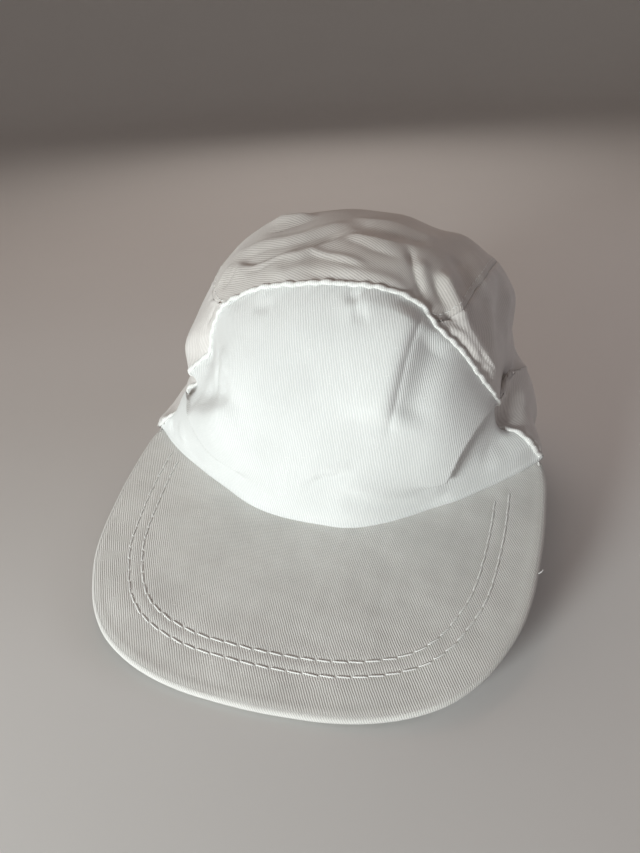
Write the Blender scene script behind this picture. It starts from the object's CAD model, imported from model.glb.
"""Five-panel cap: crown, front seam cord, inner layers, back strap and flat visor.

The front faces -Y, the wearer's left is +X and up is +Z, with the hem near z = 0.
Shapes are worked out in millimetres in the CAD frame and written to the meshes in metres.
"""
import math

import bpy
import numpy as np
from mathutils import Matrix, Vector


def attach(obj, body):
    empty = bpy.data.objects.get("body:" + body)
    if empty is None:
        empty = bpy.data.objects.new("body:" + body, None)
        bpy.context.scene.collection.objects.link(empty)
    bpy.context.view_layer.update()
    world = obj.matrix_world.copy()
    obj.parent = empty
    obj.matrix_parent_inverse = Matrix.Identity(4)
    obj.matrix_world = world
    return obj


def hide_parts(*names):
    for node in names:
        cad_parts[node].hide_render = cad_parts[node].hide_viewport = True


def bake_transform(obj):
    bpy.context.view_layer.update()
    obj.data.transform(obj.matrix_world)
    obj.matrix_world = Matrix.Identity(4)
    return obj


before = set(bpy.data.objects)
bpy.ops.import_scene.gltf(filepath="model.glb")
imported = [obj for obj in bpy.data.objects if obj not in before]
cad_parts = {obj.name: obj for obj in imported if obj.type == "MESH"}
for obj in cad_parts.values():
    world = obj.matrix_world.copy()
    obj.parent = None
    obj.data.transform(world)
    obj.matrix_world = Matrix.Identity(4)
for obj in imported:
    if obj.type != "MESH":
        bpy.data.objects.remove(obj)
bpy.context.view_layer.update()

# ---------------------------------------------------------------- driving sizes (mm)
CROWN_HEIGHT = 125.0
BODY_HALF, BODY_FRONT, BODY_BACK = 81.0, 86.3, 84.8   # upper crown: half width and depths
RING_TOP, RING_FADE = 31.0, 27.0       # the base outline rules below, then fades over this
# visor seam seen from above: front distance, rise to the corner, half width, power
SEAM_FRONT, SEAM_RISE, SEAM_HALF, SEAM_POWER = 87.4, 45.7, 92.9, 1.9
FOOT_HALF = 91.7                       # half width of the front panel's foot
VISOR_Z, VISOR_SLOPE = 20.3, math.radians(12.0)
VISOR_THICKNESS = 3.2
CENTRE = np.array([0.0, 0.0, 45.0])    # crown directions are taken from here
ARCH_HALF, ARCH_TOP, ARCH_SPRING = 40.0, 46.0, 14.0   # opening at the back
CLOTH, THIN_LAYER = 0.95, 0.6          # thicknesses
RIPPLE = 0.6                           # usual height of the crown cloth's soft waves
MIRROR = np.array([-1.0, 1.0, 1.0])
TINY = 1e-9
MM = 0.001
UV_MM = 100.0                          # millimetres in one UV unit


# ---------------------------------------------------------------- curves and lengths
def unit(vectors, guard=0.0):
    return vectors / (np.linalg.norm(vectors, axis=-1, keepdims=True) + guard)


def smoothstep(t):
    t = np.clip(t, 0, 1)
    return t * t * (3 - 2 * t)


def bell(distance, width):
    return np.exp(-(distance / width) ** 2)


def hermite(u, width, start, end, slope_start, slope_end):
    """Cubic between two values, u running 0 to 1 over the width."""
    return ((2 * u**3 - 3 * u**2 + 1) * start + (u**3 - 2 * u**2 + u) * width * slope_start
            + (-2 * u**3 + 3 * u**2) * end + (u**3 - u**2) * width * slope_end)


def run_along(path):
    """Distance along a polyline at each of its points."""
    steps = np.linalg.norm(np.diff(path, axis=0), axis=1)
    return np.concatenate([[0], np.cumsum(steps)])


def sample(values, run, at):
    return np.stack([np.interp(at, run, column) for column in values.T], -1)


def resample(points, count):
    """Evenly spaced points on a smooth curve through a polyline."""
    points = np.asarray(points, float)
    run = run_along(points)
    slope = np.gradient(points, run, axis=0)
    u = np.linspace(0, 1, 13)[:, None]
    fine = []
    for k in range(len(points) - 1):
        width = run[k + 1] - run[k]
        piece = hermite(u, width, points[k], points[k + 1], slope[k], slope[k + 1])
        fine.append(piece[:-1])
    fine = np.vstack(fine + [points[-1:]])
    run = run_along(fine)
    return sample(fine, run, np.linspace(0, run[-1], count))


def even(path, ups, step):
    """A path and its up vectors at an even step."""
    path = np.asarray(path, float)
    run = run_along(path)
    at = np.linspace(0, run[-1], max(int(run[-1] / step), 4))
    return sample(path, run, at), unit(sample(np.asarray(ups, float), run, at), TINY)


def from_segment(points, start, end):
    """Share along a segment, offset from it and distance to it for each point."""
    edge = end - start
    share = np.clip(((points - start) @ edge) / (edge @ edge), 0, 1)
    offset = points - start - share[..., None] * edge
    return share, offset, np.linalg.norm(offset, axis=-1)


def distance_to(line, points):
    best = np.full(points.shape[:-1], 1e9)
    for start, end in zip(line[:-1], line[1:]):
        best = np.minimum(best, from_segment(points, start, end)[2])
    return best


def waves(points, amount, size, seed):
    """Soft irregular height, the same on every run."""
    rng = np.random.default_rng(seed)
    height = np.zeros(points.shape[:-1])
    for _ in range(14):
        d = rng.normal(size=3)
        d *= 2 * math.pi / (size * rng.uniform(0.6, 1.7)) / np.linalg.norm(d)
        height += np.sin(points @ d[:points.shape[-1]] + rng.uniform(0, 6.28))
    return amount * height / math.sqrt(7)


def crown_ripple(points, amount=RIPPLE):
    """The soft waves shared by the crown's cloth pieces."""
    return waves(points, amount, size=38.0, seed=2)


# ---------------------------------------------------------------- crown form
# (x, y) round the base outline behind the visor corner, to the middle of the back
RING_BACK = [(90.6, -42.4), (92.4, -35.5), (92, -22), (89.5, 0), (85.2, 22), (76.8, 46),
             (61.5, 66.5), (38, 80.5), (19, 85.2), (0, 86.6)]


def visor_seam_y(x):
    return -SEAM_FRONT + SEAM_RISE * (np.abs(x) / SEAM_HALF) ** SEAM_POWER


def visor_plane_z(y):
    return VISOR_Z + math.tan(VISOR_SLOPE) * (y + SEAM_FRONT)


def ring_table():
    """Angles and radii of the base outline on the +x side, front to back."""
    points = [(x, visor_seam_y(x)) for x in (0, 14, 28, 42, 55, 67, 78, 86)] + RING_BACK
    x, y = np.array(points).T
    angle, radius = np.arctan2(y, x), np.hypot(x, y)
    # one mirrored neighbour at each end gives the end slopes
    a = np.concatenate([[-math.pi - angle[1]], angle, [math.pi - angle[-2]]])
    r = np.concatenate([[radius[1]], radius, [radius[-2]]])
    query = np.linspace(-math.pi / 2, math.pi / 2, 721)
    k = np.clip(np.searchsorted(angle, query, side="right") - 1, 0, len(angle) - 2)
    width = a[k + 2] - a[k + 1]
    slope_start = (r[k + 2] - r[k]) / (a[k + 2] - a[k])
    slope_end = (r[k + 3] - r[k + 1]) / (a[k + 3] - a[k + 1])
    u = (query - a[k + 1]) / width
    return query, hermite(u, width, r[k + 1], r[k + 2], slope_start, slope_end)


RING_ANGLES, RING_RADII = ring_table()


def ring_radius(angle):
    angle = np.arctan2(np.sin(angle), np.cos(angle))
    mirrored = np.copysign(math.pi, angle) - angle
    angle = np.where(np.abs(angle) > math.pi / 2, mirrored, angle)
    return np.interp(angle, RING_ANGLES, RING_RADII)


def crown_radius(angle, z):
    """Distance from the axis to the outside of the crown at a polar angle and height."""
    c, s = np.cos(angle), np.sin(angle)
    rise = np.clip(z / CROWN_HEIGHT, 0, 1)
    power = 2 + 0.84 * (1 - rise ** 3)      # squarer low down
    depth = np.where(s < 0, BODY_FRONT, BODY_BACK)
    body = (np.abs(c / BODY_HALF) ** power + np.abs(s / depth) ** power) ** (-1 / power)
    low = 1 - smoothstep((z - RING_TOP) / RING_FADE)
    radius = low * ring_radius(angle) + (1 - low) * body
    # the dome closes at the top; low down only 0.15 of that narrowing is used
    bulge = 0.60 + 0.38 * np.clip(s, 0, None) ** 2 + 0.09 * np.clip(-s, 0, None) ** 2
    dome = np.cos(np.arcsin(np.clip(rise ** (1 / bulge), 0, 1))) ** bulge
    return radius * (1 - (1 - dome) * (1 - low) - (1 - dome) * low * 0.15)


def crossing(is_out, inside, outside, shape, steps=40):
    """Bisect between a value inside the crown and one outside it."""
    inside, outside = np.full(shape, inside), np.full(shape, outside)
    for _ in range(steps):
        middle = (inside + outside) / 2
        out = is_out(middle)
        outside = np.where(out, middle, outside)
        inside = np.where(out, inside, middle)
    return (inside + outside) / 2


def is_outside(x, y, z):
    return np.hypot(x, y) > crown_radius(np.arctan2(y, x), z)


def wall_point(x, z, inside, outside):
    x, z = np.broadcast_arrays(x, z)
    y = crossing(lambda y: is_outside(x, y, z), inside, outside, x.shape)
    return np.stack([x, y, z], -1)


def front_point(x, z):
    return wall_point(x, z, -2.0, -110.0)


def back_point(x, z):
    return wall_point(x, z, 0.0, 110.0)


def top_point(x, y):
    x, y = np.broadcast_arrays(x, y)
    z = crossing(lambda z: is_outside(x, y, z), 0.0, CROWN_HEIGHT, x.shape)
    return np.stack([x, y, z], -1)


def ring_point(angle, z):
    radius = crown_radius(angle, z)
    return np.stack([radius * np.cos(angle), radius * np.sin(angle), z], -1)


def on_crown(points):
    """Points of the crown in the directions of the given ones, with outward normals."""
    d = unit(points - CENTRE)
    t = unit(np.cross(d, [0.3, 0.2, 0.93]))
    b = np.cross(d, t)
    step = 0.012
    found = []
    for way in (d, d + step * t, d - step * t, d + step * b, d - step * b):
        way = unit(way)
        level = np.hypot(way[:, 0], way[:, 1])
        angle = np.arctan2(way[:, 1], way[:, 0])
        radius = crossing(
            lambda m: m * level > crown_radius(angle, CENTRE[2] + m * way[:, 2]),
            0.0, 220.0, len(way), steps=34)
        found.append(CENTRE + way * radius[:, None])
    normals = unit(np.cross(found[1] - found[2], found[3] - found[4]))
    normals *= np.sign((normals * d).sum(1))[:, None]
    return found[0], normals


def on_form(grid):
    points, normals = on_crown(grid.reshape(-1, 3))
    return points.reshape(grid.shape), normals.reshape(grid.shape)


# ---------------------------------------------------------------- seam lines on the crown
# (x, z) of the front panel's seam from its foot, round the corner, to the middle of its top
FRONT_XZ = np.array([
    (91.7, 30.8), (88.6, 34), (83.6, 42), (78.6, 51), (74, 60), (68.2, 72), (61.5, 84),
    (52.5, 96), (46.8, 102.3), (42, 106.6), (35.5, 109.6), (24, 111.9), (12, 113.1), (0, 113.5)])
CORNER = 9          # the row of FRONT_XZ at the panel's top corner
# (x, y) of the seam behind that corner, over the top of the crown
TOP_SEAM_XY = np.array([(50.5, -49), (58, -39.5), (61.6, -22), (63, 0), (62.2, 22),
                        (59, 43), (55, 58)])
# the crown's lower edge behind the visor corners: y, z
HEM_Y = [-60, -40, -30, -18, -6, 6, 14, 24, 120]
HEM_Z = [22.9, 27.1, 26.6, 19.5, 10, 3, 0.6, 0.1, 0.1]


def hem_z(y):
    return np.interp(y, HEM_Y, HEM_Z)


def front_seam(side_count=70, top_count=31):
    """Seam round the front panel: up its -x side, over the top, down its +x side."""
    side = resample(FRONT_XZ[:CORNER + 1], side_count)
    top = resample(FRONT_XZ[CORNER:], top_count)
    half = np.vstack([side, top[1:]])
    x, z = np.vstack([half * [-1, 1], half[::-1][1:]]).T
    return front_point(x, z)


def top_seam():
    """Seam of the top panel and the +x side panel, from the front corner to the back hem."""
    corner = front_point(*FRONT_XZ[CORNER])
    top = top_point(*TOP_SEAM_XY.T)
    z0 = top[-1, 2]
    z = np.linspace(z0 - 12, 0.1, 9)
    x = TOP_SEAM_XY[-1, 0] - 8.0 * np.minimum(1.0, (z0 - z) / z0 * 1.25) ** 0.8
    return np.vstack([corner, top, back_point(x, z)])


# ---------------------------------------------------------------- how the worn cloth lies
# x, y, z on the form, then the displacement dx, dy, dz there; above the fold
MOVES_ABOVE = [
    (-42, -49, 106.6, 1, -0.9, -1.9), (-52.5, -51.9, 96, 4.3, 2.7, 2.2),
    (-61.5, -51.7, 84, 7.1, 3.8, 2.1), (-68.2, -49.1, 72, 8.6, 3.5, 0.9),
    (-73, -43.8, 62, 9.5, 2.8, -0.4), (-75.5, -38.7, 57, 4.4, 0.2, -1.7),
    (-78.1, -38.2, 52, 0.7, -0.8, -0.3), (0, -53, 113.5, -0.3, 0.3, 0.7),
    (-24, -51.7, 111.9, 1.2, -0.2, -0.9), (24, -51.7, 111.9, -2, 0, 0.9),
    (42, -49, 106.6, -2.2, -0.8, -0.3), (48.9, -51.2, 100, -4.5, -1.7, -0.5),
    (57, -52.6, 90, -5, -0.5, 2.5), (63.7, -51.4, 80, -5.6, 0.3, 4.8),
    (69.2, -48.4, 70, -4.6, 0, 5), (73, -43.8, 62, -2.8, -1, 3.8),
    (75.5, -38.7, 57, -2.7, -2.5, 2.4), (58.8, -68.8, 43, -0.8, -1.4, 0.5),
    (61.2, -66.8, 48, -1.3, -2.5, 1.4), (63.8, -63.8, 51.5, -1.2, -2.8, 2.4),
    (66.8, -59.1, 54.5, -1.3, -2.9, 2.9), (69.8, -53.5, 56.5, -1.2, -2.6, 3.4),
    (72.6, -47.2, 57.2, -1.7, -2.4, 3.3), (77.5, -28.2, 58, -3.7, -1.3, 1.5),
    (78.7, -16.7, 58, -3.7, -0.2, 2.2), (79.2, -2.8, 57, -3.1, -0.5, 0.7),
    (-75.2, -47, 51, 1.9, -0.5, 0.7), (-70.8, -55.3, 50.5, 2.1, -0.4, 1.3),
    (-66.3, -61.8, 48.5, 2, -1, 1.4), (-61.9, -66.4, 45.5, 1.7, -1.5, 1),
    (-57.5, -69.7, 42.5, 1, -1.3, 1.3), (-51.9, -72.8, 39, 0.6, -1.3, 1.2),
    (-47, -75.2, 36.7, 0.2, -1.2, 1.3), (-41.3, -77.7, 34.7, -0.1, -0.8, 1.2),
    (-36.3, -79.7, 33, 0, -0.2, 0.9), (-70.5, -46.7, 67.9, -0.4, -0.3, -0.4),
    (-70.1, -40.5, 77.7, -0.6, -0.3, -0.2), (-68.5, -35.7, 85.9, 0, -0.2, -0.4),
    (-65.6, -27.9, 96.2, 1.1, -0.3, -1.1), (-61, -15.8, 106.4, 0.3, -0.3, -0.7),
    (-55.7, -6.3, 112.7, -0.3, -0.2, -0.2), (-50.4, 1.3, 116.6, -0.5, -0.1, 0.1),
    (-46.2, 6.1, 118.6, -0.3, 0.6, 1.1), (-39.4, 7.7, 121, -0.8, 1.3, 2.5),
    (-33.5, 11.5, 122, -0.3, 1, 1.7), (-29.2, 13.3, 122.5, 0, 0.6, 1),
    (-20.1, 16, 123, 0.1, 0.9, 1.3), (-5.1, 14.5, 123.4, 0.2, 1.7, 2.6),
    (12.1, 15.2, 123.4, -0.3, 1.4, 2.3), (18.8, 16.3, 123, 0, 0.9, 1.4),
    (24, 16.5, 122.5, -0.4, 0.1, 0.3), (31.5, 17.5, 121, -0.9, -1.1, -1.3),
    (38.9, 15.7, 119.5, -1.1, -1.3, -1.5), (48.6, 16.3, 115.2, -0.4, 0.1, 0.4),
    (54, 16, 111.8, -0.1, 0.4, 0.7), (57.9, 16.1, 108.3, 0.8, 0.3, 0.1),
    (62.4, 14.4, 104, 1.1, 0.6, 0.3), (64.4, 16.7, 100.6, 1.6, 0.9, 0.7),
    (68.1, 15.1, 95.2, 1.6, 0.8, 0.5), (71.5, 15.2, 87.9, 2.1, 1, 0.5),
    (73.1, 14.2, 84, 1, 0.4, 0.1), (74.3, 14.4, 80.1, -0.7, -0.7, -0.7),
    (77, 10.8, 69.9, -2.8, -1.7, -1.3)]
# the same columns, below the fold
MOVES_BELOW = [
    (-91.7, -39.3, 30.8, -2, -0.4, 0.4), (-87.4, -44.9, 36, 0.1, 0.9, 1.3),
    (-83.6, -44, 42, 1.5, -0.2, -1.1), (-80.3, -40.6, 48, 3.1, -2.2, -5.9),
    (-77.1, -37.5, 54, 4.9, -3.9, -10), (91.7, -39.3, 30.8, 1, 2.1, 2.9),
    (87.4, -44.9, 36, 0.4, 4.2, 6.5), (83.6, -44, 42, -2.4, 3, 6),
    (80.3, -40.6, 48, -6.7, -0.2, 0.8), (77.1, -37.5, 54, -9.1, -1.8, -4.7),
    (91.7, -42.8, 29.8, 0.5, 7.6, 1.6), (87.6, -46.5, 29, 0, 6.5, 1.4),
    (80.2, -52.8, 27.6, 0, 6.1, 1.3), (73.7, -58, 26.6, 0, 5.8, 1.2),
    (67.4, -62.6, 25.6, 0, 5.5, 1.2), (60.3, -67.3, 24.6, 0, 4.6, 1),
    (51.7, -72.4, 23.5, 0, 4, 0.9), (45.5, -75.6, 22.8, 0, 3.2, 0.7),
    (36.5, -79.7, 21.9, 0, 1.4, 0.3), (26.2, -83.3, 21.2, 0, 0.1, 0),
    (14.3, -86.1, 20.6, 0, -0.3, -0.1), (3.5, -87.3, 20.3, 0, 0.8, 0.2),
    (-10.2, -86.7, 20.4, 0, 1.2, 0.2), (-24.9, -83.6, 21.1, 0, 1, 0.2),
    (-33.3, -80.9, 21.7, 0, 1.8, 0.4), (-42.3, -77.1, 22.5, 0, 2.8, 0.6),
    (-51.8, -72.3, 23.5, 0, 3.2, 0.7), (-58.5, -68.4, 24.3, 0, 3.3, 0.7),
    (-69, -61.4, 25.8, 0, 2.6, 0.6), (-81.1, -52.1, 27.8, 0, 2.4, 0.5),
    (-91.7, -42.8, 29.8, -1, 3.1, 0.7), (76.9, -34.2, 56, -2.4, 6.9, 8.9),
    (77.9, -26.8, 57, -1.1, 5.6, 8.5), (79.7, -19.9, 54, 2.2, 5.2, 7.2),
    (82.7, -16.1, 49, 2.4, 4.4, 5.9), (86.1, -15.2, 44, 0.8, 3.5, 5.3),
    (89.9, -19.1, 38, -3, 3.5, 7.1), (92.1, -24.7, 32, -4, 3.9, 8.2),
    (92.5, -33.7, 28.5, -1.2, 3.9, 6.9), (61.3, -66.9, 45.5, -2, 4.2, 3.8),
    (64.1, -64.1, 49, -2, 4.7, 4.6), (67.3, -59.5, 52, -2.2, 5, 5.2),
    (70.3, -53.9, 54, -2.2, 5.3, 5.9), (73.2, -47.6, 54.7, -2.7, 5.1, 6.1),
    (-76.4, -47.7, 48.5, 1.4, 4.1, 4.7), (-71.4, -55.8, 48, 1, 4.2, 5.1),
    (-66.6, -62.1, 46, 0.2, 3.9, 4.7), (-62, -66.4, 43, -0.4, 3.3, 4.1),
    (-57.4, -69.6, 40, -1.2, 3.3, 4.4), (-51.8, -72.6, 36.5, -1.5, 3.2, 4.2),
    (-46.9, -75, 34.2, -1.8, 3.2, 4.3)]
# places held still in each field: polar angle (degrees), height
STILL_ABOVE = [
    (30, 70), (30, 40), (60, 95), (60, 60), (60, 20), (90, 110), (90, 75), (90, 40), (120, 95),
    (120, 60), (150, 90), (150, 60), (175, 80), (-175, 60), (-100, 95), (-80, 95), (-90, 75),
    (-105, 60), (-75, 62), (-90, 50), (-65, 80), (-115, 80), (-62, 55), (-118, 52), (45, 112),
    (135, 112)]
STILL_BELOW = [
    (10, 30), (10, 8), (30, 25), (30, 3), (60, 20), (60, 60), (90, 40), (90, 5), (120, 20),
    (120, 60), (150, 20), (175, 20), (175, 45), (-170, 22), (-165, 45), (-90, 45), (-90, 80),
    (-60, 80), (-120, 80), (0, 80), (180, 80), (90, 110), (-100, 38), (-80, 38), (-70, 42)]
# fold line round the crown: polar angle (degrees), height, width over which the cloth turns
FOLD = np.array([
    (-262, 36, 16), (-230, 36, 16), (-200, 40, 14), (-182, 44, 8), (-166, 48, 4),
    (-154, 50, 4.5), (-148, 51, 4.5), (-142, 50.5, 4.2), (-137, 48.5, 3.8), (-133, 45.5, 3.2),
    (-129.5, 42.5, 2.2), (-125.5, 39, 2.3), (-122, 36.7, 2.6), (-118, 34.7, 3.2),
    (-114.5, 33, 4.5), (-107, 31, 9), (-95, 31, 12), (-80, 32, 12), (-65, 33, 10), (-56, 34, 5),
    (-51.4, 36.5, 2.2), (-49.5, 43, 2), (-47.5, 48, 2), (-45, 51.5, 2), (-41.5, 54.5, 2),
    (-37.5, 56.5, 2), (-33, 57.2, 2), (-27.1, 57, 2), (-20, 58, 2.2), (-10, 58, 2.6),
    (0, 56, 4), (12, 52, 8), (25, 47, 14), (45, 40, 16), (88, 36, 16)])
MM_PER_DEGREE = 1.45        # round the crown


def displacement_field(moves, still):
    """Smooth field through the moves, zero at the still places."""
    softness, give = 36.0, 0.35     # rounding of the kernel (mm squared), slack in the fit
    moves, still = np.array(moves, float), np.array(still, float)
    places = np.vstack([moves[:, :3], ring_point(np.radians(still[:, 0]), still[:, 1])])
    shifts = np.vstack([moves[:, 3:], np.zeros((len(still) + 1, 3))])

    def kernel(points):
        return -np.sqrt(((points[:, None] - places[None]) ** 2).sum(-1) + softness)

    n = len(places)
    system = np.zeros((n + 1, n + 1))
    system[:n, :n] = kernel(places) + np.eye(n) * give
    system[:n, n] = system[n, :n] = 1
    weights = np.linalg.solve(system, shifts)

    def value(points):
        moved = np.empty((len(points), 3))
        chunk = 20000               # keeps the distance matrix small
        for i in range(0, len(points), chunk):
            moved[i:i + chunk] = kernel(points[i:i + chunk]) @ weights[:n] + weights[n]
        return moved
    return value


move_above = displacement_field(MOVES_ABOVE, STILL_ABOVE)
move_below = displacement_field(MOVES_BELOW, STILL_BELOW)


def fold_side(points):
    """1 above the fold, 0 below it, turning over the fold's own width."""
    degrees = np.degrees(np.arctan2(points[:, 1], points[:, 0]))
    degrees = np.where(degrees > 89, degrees - 360, degrees)
    unrolled = np.stack([degrees * MM_PER_DEGREE, points[:, 2]], -1)
    line = FOLD[:, :2] * [MM_PER_DEGREE, 1]
    best = np.full(len(points), 1e9)
    side, width = np.zeros(len(points)), np.ones(len(points))
    for i in range(len(line) - 1):
        share, offset, distance = from_segment(unrolled, line[i], line[i + 1])
        edge = line[i + 1] - line[i]
        turn = edge[0] * offset[:, 1] - edge[1] * offset[:, 0]
        nearer = distance < best - TINY
        best = np.where(nearer, distance, best)
        side = np.where(nearer, np.where(np.abs(turn) > TINY, np.sign(turn), 1), side)
        here = FOLD[i, 2] + share * (FOLD[i + 1, 2] - FOLD[i, 2])
        width = np.where(nearer, here, width)
    return smoothstep(best * side / width)


def settle(points):
    """Where cloth on the base form really lies, before wrinkles."""
    above = fold_side(points)[:, None]
    return points + (1 - above) * move_below(points) + above * move_above(points)


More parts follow.
